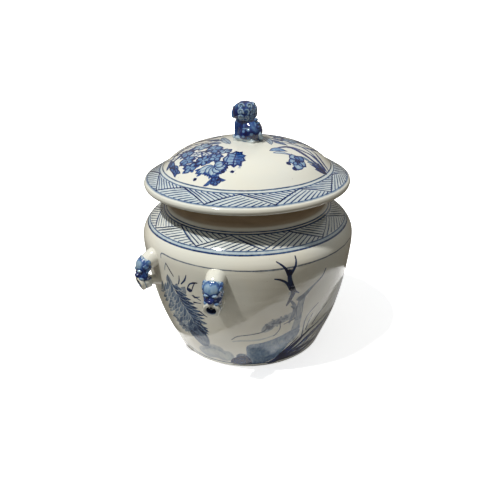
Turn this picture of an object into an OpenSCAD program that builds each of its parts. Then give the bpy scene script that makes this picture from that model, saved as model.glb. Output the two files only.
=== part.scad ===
// Lidded porcelain rice bowl: a squat jar with two pairs of lion-mask lugs, and a domed lid with a
// seated-lion knob. Millimetres, +Z up, origin at the centre of the foot ring's contact plane.
// The lug pairs sit on the -X and +X sides, and the jar stands with its lid seated on the neck.

/* [Jar] */
// Largest outer radius, at the belly
belly_r = 100.8; // [98:0.1:104]
// Outer radius of the foot ring
foot_r = 72.4; // [70:0.1:74]
// Outer radius of the short neck
neck_r = 74.9; // [73:0.1:76]
// Height of the neck's rim, where the lid sits
neck_top_z = 166; // [162:0.5:168]
// Wall thickness of the jar
wall = 5; // [4:0.1:6]
// Thickness of the jar's floor above the foot recess
floor_t = 5; // [4:0.1:7]

/* [Lid] */
// Outer radius of the lid's brim
brim_r = 96; // [93:0.1:98]
// Thickness of the brim's rounded edge
brim_t = 7; // [6:0.1:8]
// Height of the dome's top above the neck's rim
dome_h = 34; // [32:0.5:37]
// Thickness of the lid's dome
lid_wall = 5.5; // [4.5:0.1:6.5]
// Depth of the locating flange below the seat
flange_h = 12; // [9:0.5:15]
// Radial gap between the flange and the inside of the neck
flange_gap = 1.4; // [1:0.1:2]
// Gap between the lid's seat and the neck's rim
seat_gap = 0.3; // [0.2:0.1:0.5]
// Wall thickness of the locating flange
flange_t = 4; // [3:0.1:5]

/* [Lugs] */
// Angle between the two lugs of one pair
pair_angle = 42; // [36:1:50]
// Radius of the hole through each lug
bore_r = 4.5; // [4:0.1:4.7]
// Distance from the jar's axis to the middle of each hole
bore_at_r = 105.2; // [105:0.1:105.6]
// Height of each hole's axis
bore_z = 96; // [94:0.5:98]
// Width of a lug's loop, along its hole
loop_w = 13; // [11:0.5:14]

/* [Knob] */
// Direction the lion faces, from +X towards +Y
lion_facing = 90; // [0:1:359]
// Size of the lion against its drawn size
lion_scale = 1; // [0.9:0.05:1.1]

/* [Hidden] */
$fn = 96;
glaze = [0.87, 0.86, 0.80];
cobalt = [0.13, 0.24, 0.47];
lug_count = 4;
foot_recess = 3;
foot_ring_w = 6;
edge = 1.5;
loop_r = 8.5;
cavity_edge = 1;

// ---- curves ----------------------------------------------------------------------------------

// One point of a Catmull-Rom curve between b and c
function curve_point(a, b, c, d, t) =
    0.5 * (2 * b + (c - a) * t + (2 * a - 5 * b + 4 * c - d) * t * t
           + (3 * b - a - 3 * c + d) * t * t * t);

// A smooth open curve through the points, with n steps between neighbours
function curve(p, n) = concat(
    [for (i = [0 : len(p) - 2]) for (k = [0 : n - 1])
        curve_point(p[max(i - 1, 0)], p[i], p[i + 1], p[min(i + 2, len(p) - 1)], k / n)],
    [p[len(p) - 1]]);

// A smooth closed curve through the points
function closed_curve(p, n) =
    [for (i = [0 : len(p) - 1]) for (k = [0 : n - 1])
        curve_point(p[(i + len(p) - 1) % len(p)], p[i], p[(i + 1) % len(p)],
                    p[(i + 2) % len(p)], k / n)];

// The left-hand normal of a path at point i
function normal(p, i) =
    let (t = p[min(i + 1, len(p) - 1)] - p[max(i - 1, 0)]) [-t.y, t.x] / norm(t);

// A path moved sideways by d
function beside(p, d) = [for (i = [0 : len(p) - 1]) p[i] + d * normal(p, i)];

function reversed(p) = [for (i = [len(p) - 1 : -1 : 0]) p[i]];

// ---- jar -------------------------------------------------------------------------------------

// The jar's outside from above the foot to below the neck, as radius and height
shoulder = curve([
    [foot_r + edge, edge],
    [79.4, 15],
    [87.2, 35],
    [92.8, 55],
    [96.7, 75],
    [99.5, 95],
    [belly_r, 110],
    [99.8, 119.5],
    [94.6, 128.2],
    [85.6, 135.6],
    [neck_r + 2, 140.2]], 5);

neck_foot_z = 142.5;
neck_in_r = neck_r - wall;
floor_z = foot_recess + floor_t;

// Radius where the inside wall turns into the floor
floor_r = 70;

// The inside wall follows the outside at wall thickness, between the floor and the neck
inside = [for (q = beside(shoulder, wall))
    if (q.y > floor_z + wall && q.y < neck_foot_z - wall && q.x > neck_in_r) q];

jar_outside = concat(
    [[foot_r, 0]], shoulder,
    [[neck_r + 0.6, 141.3], [neck_r, neck_foot_z], [neck_r, neck_top_z - edge],
     [neck_r - edge, neck_top_z]]);

jar_inside = concat(
    [[neck_in_r + edge, neck_top_z], [neck_in_r, neck_top_z - edge],
     [neck_in_r, neck_foot_z - wall]],
    reversed(inside),
    [[floor_r, floor_z + 2.5], [floor_r - 6, floor_z + 0.6], [floor_r - 12, floor_z],
     [0, floor_z]]);

foot_in_r = foot_r - foot_ring_w;
foot_under = [[0, foot_recess], [foot_in_r - edge, foot_recess], [foot_in_r, 0]];

module jar_body() {
    color(glaze)
    rotate_extrude($fn = 180)
        polygon(concat(foot_under, jar_outside, jar_inside));
}

// The jar's outside as one solid, which the luted-on pieces are cut to
module jar_blank() {
    rotate_extrude($fn = 180)
        polygon(concat([[0, 0]], jar_outside, [[0, neck_top_z]]));
}

// ---- lugs ------------------------------------------------------------------------------------

// A lug's direction from +X: lugs 1 and 2 are the pair on -X, 3 and 4 the pair on +X
function lug_angle(i) = (i <= 2 ? 180 : 0) + (i % 2 == 1 ? -1 : 1) * pair_angle / 2;

// The loop's side outline, as distance from the jar's axis and height
loop_outline = closed_curve([
    [bore_at_r - 9, bore_z + 22.5],
    [bore_at_r + 0.5, bore_z + 17.5],
    [bore_at_r + loop_r - 1, bore_z + 9],
    [bore_at_r + loop_r, bore_z],
    [bore_at_r + loop_r - 3, bore_z - 8],
    [bore_at_r - 9, bore_z - 15],
    [bore_at_r - 13, bore_z - 8],
    [bore_at_r - 13, bore_z + 14]], 5);

module loop_blank() {
    rotate([90, 0, 0])
        linear_extrude(height = loop_w, center = true)
            polygon(loop_outline);
}

module bore(r, length) {
    translate([bore_at_r, 0, bore_z])
        rotate([90, 0, 0])
            cylinder(r = r, h = length, center = true);
}

module lug_loop(i) {
    color(glaze)
    difference() {
        rotate([0, 0, lug_angle(i)])
            difference() {
                loop_blank();
                bore(bore_r, loop_w + 2);
            }
        jar_blank();
    }
}

// A ball placed by its distance out from the hole's axis, its sideways offset and its height
// above the hole's axis
module ball(out, side, up, r) {
    translate([bore_at_r + out, side, bore_z + up])
        sphere(r = r, $fn = 48);
}

// A row of three balls is a lock of the mane, on the side given as -1 or 1
module mane_lock(side) {
    for (k = [0 : 2])
        ball(6.2 - 1.4 * k, side * (6.4 + 0.2 * k), 8.4 - 4.6 * k, 3);
}

module mask_blank() {
    // crown, cheeks and muzzle
    ball(4.6, 0, 7, 8);
    ball(6, -2.8, 0, 5.8);
    ball(6, 2.8, 0, 5.8);
    ball(5.6, 0, -8.4, 6.8);
    // brow and nose
    ball(10.2, -3, 3.6, 2.5);
    ball(10.2, 3, 3.6, 2.5);
    ball(10.8, 0, -1.6, 2.6);
    // ears and mane
    for (side = [-1, 1]) {
        ball(3, side * 6, 11, 2.8);
        mane_lock(side);
    }
}

module lion_mask(i) {
    color(cobalt)
    rotate([0, 0, lug_angle(i)])
        difference() {
            mask_blank();
            loop_blank();
            // the hole's way in from both sides
            bore(bore_r + 0.8, 5 * loop_w);
            // open mouth
            ball(12, 0, -9, 4.2);
        }
}

// ---- lid -------------------------------------------------------------------------------------

seat_z = neck_top_z + seat_gap;
brim_under_z = seat_z - 5.2;
brim_top_z = brim_under_z + brim_t;
crease_r = 78.5;
crease_z = brim_top_z + 8.2;
apex_z = neck_top_z + dome_h;

// Top of the dome, from the crease at the brim to the apex
dome_top = curve([
    [crease_r, crease_z],
    [68, apex_z - 15],
    [56, apex_z - 8.5],
    [42, apex_z - 4.3],
    [22, apex_z - 1],
    [0, apex_z]], 5);

flange_r = neck_in_r - flange_gap;
flange_in_r = flange_r - flange_t;
hollow_r = flange_in_r + cavity_edge;
hollow_side_h = 8;

dome_inside = [for (q = beside(dome_top, lid_wall)) if (q.x < hollow_r && q.x > edge) q];

// The brim's outline, from its root beside the seat, round its edge and up to the crease
round_r = brim_t / 2 - 0.3;
brim = concat(
    [[crease_r + 5, brim_under_z + 3], [crease_r + 10, brim_under_z],
     [brim_r - 2.4, brim_under_z]],
    [for (a = [-60 : 30 : 60])
        [brim_r - 2.2 + 2.2 * cos(a), brim_under_z + brim_t / 2 + round_r * sin(a)]],
    [[brim_r - 2.6, brim_top_z]]);

module lid_shell() {
    color(glaze)
    rotate_extrude($fn = 180)
        polygon(concat(
            [[hollow_r, seat_z], [crease_r + 2, seat_z]],
            brim, dome_top, [[0, apex_z - lid_wall]],
            reversed(dome_inside), [[hollow_r, seat_z + hollow_side_h]]));
}

module lid_flange() {
    color(glaze)
    rotate_extrude($fn = 180)
        polygon([
            [flange_in_r, seat_z - flange_h + edge], [flange_in_r + edge, seat_z - flange_h],
            [flange_r - edge, seat_z - flange_h], [flange_r, seat_z - flange_h + edge],
            [flange_r, seat_z], [hollow_r, seat_z]]);
}

// The dome's outside as one solid, which the knob is cut to
module dome_blank() {
    rotate_extrude($fn = 180)
        polygon(concat([[0, seat_z]], [[crease_r, seat_z]], dome_top));
}

// ---- knob ------------------------------------------------------------------------------------

plinth_r = 10.2;
plinth_depth = 6;

// A ball of the lion, with x ahead of the lid's axis, y to its left and z above the apex
module lion_ball(p, r) {
    translate(p) sphere(r = r, $fn = 32);
}

// A front leg with its paw, on the side given as -1 or 1
module lion_leg(side) {
    translate([5.8, side * 4.4, -4]) cylinder(r = 3.3, h = 18);
    lion_ball([7.3, side * 4.6, 2.3], 3.5);
}

module lion_blank() {
    // plinth
    translate([-1, 0, -plinth_depth])
        cylinder(r = plinth_r, h = plinth_depth + 1.3);
    // rump, back, chest and head
    lion_ball([-4, 0, 7.6], 9.6);
    lion_ball([-0.6, 0.2, 13], 8.4);
    lion_ball([3.2, -0.2, 15], 7.2);
    lion_ball([2.4, 0.1, 25], 9.4);
    // muzzle
    lion_ball([8, 0.3, 22.2], 5.2);
    for (side = [-1, 1]) {
        // thigh, hind paw, cheek of the mane, ear and front leg
        lion_ball([-3.4, side * 4.6, 5.4], 6.2);
        lion_ball([1, side * 6.6, 2.2], 3);
        lion_ball([1.2, side * 5, 23], 6.6);
        lion_ball([2.2, side * 7, 29.4], 3);
        lion_leg(side);
    }
    // curled tail
    lion_ball([-11.2, 0.4, 5], 3.2);
    lion_ball([-11.8, -0.6, 9.4], 2.5);
}

module lion_knob() {
    color(cobalt)
    difference() {
        rotate([0, 0, lion_facing])
            translate([0, 0, apex_z])
                scale(lion_scale)
                    lion_blank();
        dome_blank();
    }
}

// ---- nodes -----------------------------------------------------------------------------------

jar_body();
for (i = [1 : lug_count]) {
    lug_loop(i);
    lion_mask(i);
}
lid_shell();
lid_flange();
lion_knob();
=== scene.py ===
"""A lidded blue-and-white rice bowl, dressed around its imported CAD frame.

Shapes are worked out in millimetres and turned into metres when a mesh is made.
The painting is brushwork cut into the mesh: on the jar a mark's points are
(degrees round from the front, height), on the lid (right, back) from its top.
"""
import math

import bpy
import numpy as np
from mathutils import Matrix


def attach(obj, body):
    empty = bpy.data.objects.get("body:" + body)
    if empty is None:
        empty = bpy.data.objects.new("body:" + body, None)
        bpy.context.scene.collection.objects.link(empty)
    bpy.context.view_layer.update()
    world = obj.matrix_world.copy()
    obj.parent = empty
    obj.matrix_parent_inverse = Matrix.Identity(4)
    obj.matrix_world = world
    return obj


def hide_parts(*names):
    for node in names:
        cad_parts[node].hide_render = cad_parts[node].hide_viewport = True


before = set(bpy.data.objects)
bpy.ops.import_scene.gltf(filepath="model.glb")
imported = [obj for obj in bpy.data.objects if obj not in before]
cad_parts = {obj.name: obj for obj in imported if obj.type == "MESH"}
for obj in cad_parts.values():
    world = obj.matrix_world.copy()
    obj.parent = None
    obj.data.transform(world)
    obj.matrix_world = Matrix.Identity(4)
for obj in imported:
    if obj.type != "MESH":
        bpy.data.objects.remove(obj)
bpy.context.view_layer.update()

import openvdb
from mathutils import Matrix, Vector
from mathutils.geometry import delaunay_2d_cdt

MM = 0.001
SEAM = -90               # degrees from the front, where the jar's painting meets itself
FRONT = -53.6            # where the front of the painting is, in degrees from -Y towards +X
COLUMNS = 240            # mesh columns round the bowl
CELL = 3.5               # usual size of a mesh cell
HIDDEN_CELL = 3 * CELL   # the same, inside and under the jar
PAST = 2                 # mesh columns that a ring on the jar runs past the seam at each end
MERGE = 1e-4             # paper points nearer than this become one
TINY = 1e-9              # keeps a division from meeting a nought
BELLY_R = 100.8
PER_DEGREE = BELLY_R * math.radians(1)   # flat millimetres for each degree of the jar's painting
random = np.random.default_rng(7)        # the hand's unevenness, the same on every run


# ---- paint -----------------------------------------------------------------------------------
# A tint is (how thick the cobalt lies, how blue it is): 0 blue is a slate grey, 1 is cobalt.
# Light through the glaze falls off with thickness, by these powers for red, green and blue.
COBALT_FALL = np.array([4.3, 2.75, 1.15])
SLATE_FALL = np.array([2.6, 2.35, 1.8])

NAVY = (1.35, 0.95)
DARK = (0.95, 0.9)
BLUE = (0.6, 1.0)
PALE = (0.12, 0.9)
INK = (1.35, 0.5)
GREY = (0.55, 0.12)
MIST = (0.3, 0.1)
HAZE = (0.15, 0.2)
BARE = (0.0, 0.5)
RESERVE = (-1.0, 0.5)    # takes the paint under it away
SOFT = 0.35              # how far the edge of a brush mark takes to fade
LAPPED = 0.35            # the share of the thinner of two crossing marks that shows on the thicker


def colours(thickness, blueness):
    """The light that paint of that thickness lets through, and in alpha the glaze over it, which is 1."""
    fall = SLATE_FALL + (COBALT_FALL - SLATE_FALL) * blueness[:, None]
    return np.c_[np.exp(-fall * thickness[:, None]), np.ones(len(thickness))]


def columns(first, last):
    """The degrees round from the front of the mesh columns from first up to last, counted from the seam."""
    return SEAM + np.arange(first, last) * 360 / COLUMNS


def wobble(degrees, amount, phase):
    """A hand's small drift round a ring, the same after a full turn."""
    a = np.radians(degrees)
    return amount * (np.sin(3 * a + phase) + 0.6 * np.sin(7 * a + 2 * phase) + 0.4 * np.sin(13 * a))


def smooth(t):
    """A soft step: 0 up to t = 0, and 1 from t = 1."""
    t = np.clip(t, 0, 1)
    return t * t * (3 - 2 * t)


def curve(points, steps=5, closed=False):
    """A Catmull-Rom curve through the points, with so many steps between neighbours."""
    p = np.array(points, float)
    n = len(p)
    spans = n if closed else n - 1
    at = (lambda i: p[i % n]) if closed else (lambda i: p[min(max(i, 0), n - 1)])
    out = []
    for i in range(spans):
        a, b, c, d = at(i - 1), at(i), at(i + 1), at(i + 2)
        for k in range(steps):
            t = k / steps
            out.append(0.5 * (2 * b + (c - a) * t + (2 * a - 5 * b + 4 * c - d) * t * t
                              + (3 * b - a - 3 * c + d) * t ** 3))
    if not closed:
        out.append(p[-1])
    return np.array(out)


def unit(vectors):
    """The same vectors, one to a row, each with length 1."""
    return vectors / np.maximum(np.linalg.norm(vectors, axis=1), TINY)[:, None]


def looped(points):
    """The points of a closed outline, with the first again at the end."""
    return np.concatenate([points, points[:1]])


def to_segments(q, a, b):
    """For each point q and each segment a-b: the distance, and how far along it is nearest."""
    ab = b - a
    t = np.clip(((q[:, None] - a) * ab).sum(2) / np.maximum((ab * ab).sum(1), TINY), 0, 1)
    return np.linalg.norm(q[:, None] - (a + t[..., None] * ab), axis=2), t


# Each kind of mark has outlines(), the lines that it cuts into the mesh, as (points, closed), and
# cover(q), how much of it lies on each point of q, from 0 to 1. Beyond reach from its points p it is 0.

class Line:
    """A brush line with a soft edge. Its widths are spread evenly from its start to its end."""

    FINEST = 0.04      # least half-width that is cut into the mesh

    def __init__(self, points, widths, tint, soft=SOFT):
        self.p = np.array(points, float)
        along, given = np.linspace(0, 1, len(self.p)), np.linspace(0, 1, len(widths))
        self.w = np.interp(along, given, widths) / 2
        self.tint, self.soft = tint, soft
        self.reach = self.w.max() + soft

    def outlines(self):
        along = np.gradient(self.p, axis=0)
        side = unit(np.stack([-along[:, 1], along[:, 0]], 1))
        ends = unit(along[[0, -1]])
        for extra in (0.0, self.soft):
            w = np.maximum(self.w + extra, self.FINEST)[:, None]
            yield np.concatenate([self.p + side * w, [self.p[-1] + ends[1] * w[-1]],
                                  (self.p - side * w)[::-1], [self.p[0] - ends[0] * w[0]]]), True

    def cover(self, q):
        d, t = to_segments(q, self.p[:-1], self.p[1:])
        w = self.w[:-1] + (self.w[1:] - self.w[:-1]) * t
        return np.clip(1 - (d - w) / self.soft, 0, 1).max(1)


class Area:
    """A filled patch of wash with a soft edge. heart is the share of it left further in than rim."""

    def __init__(self, points, tint, soft=0.4, heart=1.0, rim=1.2):
        self.p = np.array(points, float)
        self.tint, self.soft, self.heart, self.rim = tint, soft, heart, rim
        self.reach = soft

    def outlines(self):
        yield self.p, True
        along = np.roll(self.p, -1, 0) - np.roll(self.p, 1, 0)
        side = unit(np.stack([along[:, 1], -along[:, 0]], 1))
        x, y = self.p.T
        out = side * np.sign(np.sum(x * np.roll(y, -1) - np.roll(x, -1) * y))
        yield self.p + out * self.soft, True
        if self.heart < 1:
            yield self.p - out * self.rim, True

    def cover(self, q):
        a, b = self.p, np.roll(self.p, -1, 0)
        d = to_segments(q, a, b)[0].min(1)
        y = q[:, 1][:, None]
        crossed = (a[:, 1] > y) != (b[:, 1] > y)
        rise = np.where(b[:, 1] == a[:, 1], TINY, b[:, 1] - a[:, 1])
        x = a[:, 0] + (y - a[:, 1]) * (b[:, 0] - a[:, 0]) / rise
        inside = (crossed & (q[:, 0][:, None] < x)).sum(1) % 2 == 1
        fill = self.heart + (1 - self.heart) * np.clip(1 - d / self.rim, 0, 1)
        return np.where(inside, fill, smooth(1 - d / self.soft))


class Ring:
    """A line or band all the way round, drifting a little as a hand does.

    On the jar it runs across the paper at a level, and on the lid round the middle."""

    def __init__(self, level, width, tint, soft=0.3, drift=0.12, phase=0.0, round_lid=False):
        self.level, self.half, self.tint, self.soft = level, width / 2, tint, soft
        self.drift, self.phase, self.round_lid = drift, phase, round_lid
        self.reach = self.half + soft + 3 * drift
        self.p = np.concatenate([points for points, closed in self.outlines()])

    def centre(self, degrees):
        return self.level + wobble(degrees, self.drift, self.phase)

    def outlines(self):
        degrees = columns(0, COLUMNS) if self.round_lid else columns(-PAST, COLUMNS + 1 + PAST)
        for offset in (-self.half - self.soft, -self.half, self.half, self.half + self.soft):
            r = self.centre(degrees) + offset
            if self.round_lid:
                a = np.radians(degrees)
                yield np.stack([r * np.sin(a), -r * np.cos(a)], 1), True
            else:
                yield np.stack([degrees * PER_DEGREE, r], 1), False

    def cover(self, q):
        if self.round_lid:
            d = np.hypot(*q.T) - self.centre(np.degrees(np.arctan2(q[:, 0], -q[:, 1])))
        else:
            d = q[:, 1] - self.centre(q[:, 0] / PER_DEGREE)
        return np.clip(1 - (np.abs(d) - self.half) / self.soft, 0, 1)


class Paper:
    """The marks painted on one surface, in its flat millimetres.

    place turns the points that a mark is drawn with into those millimetres."""

    def __init__(self):
        self.marks, self.place = [], None

    def line(self, points, widths, tint, soft=SOFT, steps=3):
        points = [self.place(p) for p in points]
        self.marks.append(Line(curve(points, steps) if len(points) > 2 else points, widths, tint, soft))

    def area(self, points, tint, soft=0.4, heart=1.0, rim=1.2, steps=4):
        self.marks.append(Area(curve([self.place(p) for p in points], steps, True),
                               tint, soft, heart, rim))

    def leaf(self, base, tip, width, tint, bend=0.0, edge=None, vein=None, heart=1.0, over=False):
        """A pointed leaf or petal from base to tip, bent sideways by a share of its length.
        One that lies over the others has a thin bare gap round it."""
        base, tip = np.array(self.place(base), float), np.array(self.place(tip), float)
        run = tip - base
        side = np.array([-run[1], run[0]])
        length = np.hypot(*run)
        steps = max(5, int(length / 2.4))
        t = np.linspace(0, 1, steps)
        spine = base + run * t[:, None] + side * (bend * 4 * t * (1 - t))[:, None]
        half = side / length * (width / 2 * np.sin(np.pi * t ** 0.8) ** 0.75)[:, None]
        outline = np.concatenate([spine + half, (spine - half)[-2:0:-1]])
        if over:
            self.marks.append(Area(outline, RESERVE, 1.0))
        self.marks.append(Area(outline, tint, SOFT, heart, width * 0.25))
        if edge:
            self.marks.append(Line(looped(outline), [0.5, 0.8, 0.5], edge, 0.25))
        if vein:
            self.marks.append(Line(spine[: int(steps * 0.85)], [0.7, 0.3], vein, 0.25))

    def blossom(self, centre, radii, petals, tint, edge, turn, depth, heart=0.35):
        """A round flower or lobed leaf, with a scalloped edge and lines to its heart."""
        centre = np.array(self.place(centre), float)
        a = np.linspace(0, 2 * np.pi, petals * 5, endpoint=False)
        lobe = 1 - depth * (1 - np.abs(np.sin((a - turn) * petals / 2)) ** 0.6)
        lobe = lobe * random.uniform(0.88, 1.08, len(a))
        outline = centre + np.stack([radii[0] * lobe * np.cos(a), radii[1] * lobe * np.sin(a)], 1)
        self.marks.append(Area(outline, RESERVE, 0.4))
        self.marks.append(Area(outline, tint, 0.4, heart, min(radii) * 0.3))
        self.marks.append(Line(looped(outline), [0.9, 1.3, 0.8, 1.2], edge, 0.3))
        for k in range(petals):
            b = turn + 2 * np.pi * k / petals
            out = np.array([radii[0] * np.cos(b), radii[1] * np.sin(b)])
            self.marks.append(Line([centre + out * 0.2, centre + out * 0.5, centre + out * 0.78],
                                   [0.9, 0.6, 0.3], edge, 0.3))

    def cut(self, verts, edges):
        """Cuts the marks' outlines into a flat mesh and returns its points, triangles and colours."""
        verts, edges = list(verts), list(edges)
        for mark in self.marks:
            for ring, closed in mark.outlines():
                first, n = len(verts), len(ring)
                verts += [tuple(p) for p in ring]
                edges += [(first + i, first + (i + 1) % n) for i in range(n if closed else n - 1)]
        done = delaunay_2d_cdt([Vector(p) for p in verts], edges, [], 0, MERGE, False)
        q = np.array([p[:] for p in done[0]])
        faces = np.array([f for f in done[2] if len(f) == 3])
        thick, blue = np.zeros(len(q)), np.full(len(q), 0.5)
        for mark in self.marks:
            low, high = mark.p.min(0) - mark.reach, mark.p.max(0) + mark.reach
            near = np.flatnonzero(((q > low) & (q < high)).all(1))
            add = mark.cover(q[near]) * mark.tint[0]
            if mark.tint[0] < 0:
                thick[near] *= 1 + add
                continue
            share = add / np.maximum(add + thick[near], 1e-6)
            blue[near] += (mark.tint[1] - blue[near]) * share
            thick[near] = np.maximum(thick[near], add) + LAPPED * np.minimum(thick[near], add)
        return q, faces, colours(thick, blue)


# ---- thrown surfaces -------------------------------------------------------------------------

class Thrown:
    """A surface of revolution, from a path of (radius, height) with its corners softened.
    side is 1 where the outside is on the path's right, and -1 where it is on its left."""

    ROW_TURN = math.radians(8)     # the most that the path turns from one row to the next

    def __init__(self, points, side=1, blur=0.8, step=0.25):
        p = np.array(points, float)
        s = np.concatenate([[0], np.cumsum(np.hypot(*np.diff(p, axis=0).T))])
        t = np.arange(0, s[-1], step)
        p = np.stack([np.interp(t, s, p[:, 0]), np.interp(t, s, p[:, 1])], 1)
        k = int(3 * blur / step)
        weight = np.exp(-0.5 * (np.arange(-k, k + 1) * step / blur) ** 2)
        weight /= weight.sum()
        near, far = p[1:k + 1][::-1] * [-1, 1], p[-k - 1:-1][::-1] * [-1, 1]
        padded = np.concatenate([near + [2 * p[0, 0], 0], p, far + [2 * p[-1, 0], 0]])
        p = np.stack([np.convolve(padded[:, i], weight, "valid") for i in (0, 1)], 1)
        self.p = p
        self.s = np.concatenate([[0], np.cumsum(np.hypot(*np.diff(p, axis=0).T))])
        d = np.gradient(p, self.s, axis=0)
        d /= np.linalg.norm(d, axis=1)[:, None]
        self.n = np.stack([d[:, 1], -d[:, 0]], 1) * side

    def at(self, s):
        """Radius, height, and the outward normal's radial and upward parts, at path lengths s."""
        return [np.interp(s, self.s, v) for v in (*self.p.T, *self.n.T)]

    def rows(self, start, end, cell=CELL):
        """Path lengths between start and end, closer together where the path turns."""
        i = (self.s >= start) & (self.s <= end)
        s = self.s[i]
        turn = np.abs(np.gradient(np.unwrap(np.arctan2(self.n[i, 1], self.n[i, 0]))))
        cost = np.concatenate([[0], np.cumsum(np.diff(s) / cell + turn[1:] / self.ROW_TURN)])
        count = max(2, int(cost[-1]) + 1)
        rows = np.interp(np.linspace(0, cost[-1], count), cost, s)
        rows[0], rows[-1] = start, end
        return rows


def turned_points(thrown, degrees, s):
    """Places and normals in metres, at angles round from the front and lengths along the path."""
    r, z, nr, nz = thrown.at(s)
    a = np.radians(degrees + FRONT)
    place = np.stack([r * np.sin(a), -r * np.cos(a), z], 1) * MM
    return place, np.stack([nr * np.sin(a), -nr * np.cos(a), nz], 1)


WELD = 2e-6            # metres
HOLE = 1.0             # path length left open at the axis, for a cap


class Builder:
    """Gathers patches of one mesh and welds them where they meet."""

    def __init__(self):
        self.parts, self.count = [], 0

    def add(self, place, normal, colour, faces):
        self.parts.append((place, normal, colour, [tuple(int(i) + self.count for i in f) for f in faces]))
        self.count += len(place)

    def rings(self, thrown, rows, glaze=1.0):
        """Unpainted rings along the path, glazed or not; the material gives the unglazed ones a dark brown
        painted shade.
        """
        d, s = np.meshgrid(columns(0, COLUMNS), rows)
        place, normal = turned_points(thrown, d.ravel(), s.ravel())
        faces = [(i * COLUMNS + j, i * COLUMNS + (j + 1) % COLUMNS,
                  (i + 1) * COLUMNS + (j + 1) % COLUMNS, (i + 1) * COLUMNS + j)
                 for i in range(len(rows) - 1) for j in range(COLUMNS)]
        self.add(place, normal, np.ones((len(place), 4)) * [1, 1, 1, glaze], faces)

    def cap(self, thrown, s):
        """Closes the small hole left round the axis."""
        place, normal = turned_points(thrown, columns(0, COLUMNS), np.full(COLUMNS, s))
        self.add(place, normal, np.ones((COLUMNS, 4)), [tuple(range(COLUMNS))])

    def mesh(self, name):
        """The mesh object, with points that agree to within WELD made one."""
        place, normal, colour = (np.concatenate([p[i] for p in self.parts]) for i in range(3))
        keys = np.round(place / WELD).astype(np.int64)
        _, first, back = np.unique(keys, axis=0, return_index=True, return_inverse=True)
        back = back.ravel()
        faces, seen = [], set()
        for part in self.parts:
            for f in part[3]:
                g = []
                for i in f:
                    if not g or back[i] != g[-1]:
                        g.append(int(back[i]))
                if len(g) > 1 and g[0] == g[-1]:
                    g.pop()
                key = tuple(sorted(g))
                if len(set(g)) > 2 and key not in seen:
                    seen.add(key)
                    faces.append(g)
        return painted_mesh(name, place[first], faces, colour[first], normal[first])


def painted_mesh(name, place, faces, colour, normal):
    """A smooth mesh object. Its attribute named paint holds the paint's colour, and in alpha the glaze."""
    corners = np.array([list(f[:3]) for f in faces])
    a, b, c = (place[corners[:, i]] for i in range(3))
    facing = np.einsum("ij,ij->i", np.cross(b - a, c - a), normal[corners].sum(1))
    mesh = bpy.data.meshes.new(name)
    mesh.from_pydata(place.tolist(), [], [list(map(int, f if way > 0 else f[::-1]))
                                          for f, way in zip(faces, facing)])
    mesh.validate()
    mesh.polygons.foreach_set("use_smooth", [True] * len(mesh.polygons))
    paint = mesh.color_attributes.new("paint", "FLOAT_COLOR", "POINT")
    paint.data.foreach_set("color", colour.astype(np.float32).ravel())
    mesh.normals_split_custom_set_from_vertices(normal.tolist())
    piece = bpy.data.objects.new(name, mesh)
    bpy.context.scene.collection.objects.link(piece)
    return piece


# ---- outlines of the pieces ------------------------------------------------------------------

FOOT_R, NECK_R, RIM_Z, WALL = 72.4, 74.9, 166, 5
NECK_IN_R = NECK_R - WALL
SHOULDER = curve([(73.9, 1.5), (79.4, 15), (87.2, 35), (92.8, 55), (96.7, 75), (99.5, 95),
                  (BELLY_R, 110), (99.8, 119.5), (94.6, 128.2), (85.6, 135.6), (76.9, 140.2)])
JAR_WALL = np.concatenate([[(FOOT_R, 0)], SHOULDER, [(75.5, 141.3), (NECK_R, 142.5),
                                                    (NECK_R, RIM_Z - 1.5), (NECK_R - 1.5, RIM_Z)]])
JAR_INSIDE = [(NECK_IN_R + 1.5, RIM_Z), (NECK_IN_R, RIM_Z - 1.5), (NECK_IN_R, 137.5), (81, 132),
              (90, 126), (94.8, 119), (BELLY_R - WALL, 110), (94.5, 95), (91.7, 75), (87.8, 55),
              (82.2, 35), (74.6, 16), (70, 10.5), (64, 8.6), (58, 8), (0, 8)]
JAR_UNDER = [(0, 3), (64.9, 3), (66.4, 0)]

SEAT_Z, APEX_Z, CREASE = 166.3, 200, (78.5, 176.3)
DOME = curve([(0, APEX_Z), (22, 199), (42, 195.7), (56, 191.5), (68, 185), CREASE])
LID_TOP = np.concatenate([DOME, [(84, 173.6), (93.4, 168.1)]])
LID_EDGE = [(95.2, 167), (96, 164.6), (95.2, 162), (93.6, 161.1)]
LID_UNDER = [(88.5, 161.1), (83.5, 164.1), (80.5, SEAT_Z), (65.5, SEAT_Z), (65.5, 174.5),
             (62, 182.5), (53, 187), (40, 190.6), (21, 193.5), (0, 194.5)]

jar = Thrown(np.concatenate([JAR_UNDER, JAR_WALL, JAR_INSIDE]))
lid = Thrown(np.concatenate([LID_TOP, LID_EDGE, LID_UNDER]), -1, 0.6)


def length_at(thrown, radius, height):
    """The path length nearest to a point of the outline."""
    return float(thrown.s[np.argmin(np.hypot(thrown.p[:, 0] - radius, thrown.p[:, 1] - height))])


JAR_LOW, JAR_HIGH = length_at(jar, 73.4, 1), length_at(jar, NECK_R, 158)
WALL_I = (jar.s >= length_at(jar, FOOT_R, 0)) & (jar.s <= length_at(jar, NECK_R, RIM_Z - 2))


def jar_level(height):
    """How far along the jar's path its outer wall comes to that height."""
    return float(np.interp(height, jar.p[WALL_I, 1], jar.s[WALL_I]))


def on_jar(turn):
    """Turns (degrees from the front, height) into flat millimetres, that many degrees further round."""
    return lambda p: ((p[0] + turn) * PER_DEGREE, jar_level(p[1]))


def on_lid(turn):
    """Turns (right, back) into flat millimetres, that many degrees about the lid's middle."""
    c, s = math.cos(math.radians(turn)), math.sin(math.radians(turn))
    return lambda p: (p[0] * c - p[1] * s, p[0] * s + p[1] * c)


# ---- borders and rings -----------------------------------------------------------------------

PERIODS, STROKES = 10, 9     # triangles each way round a border, and the strokes in each


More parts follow.
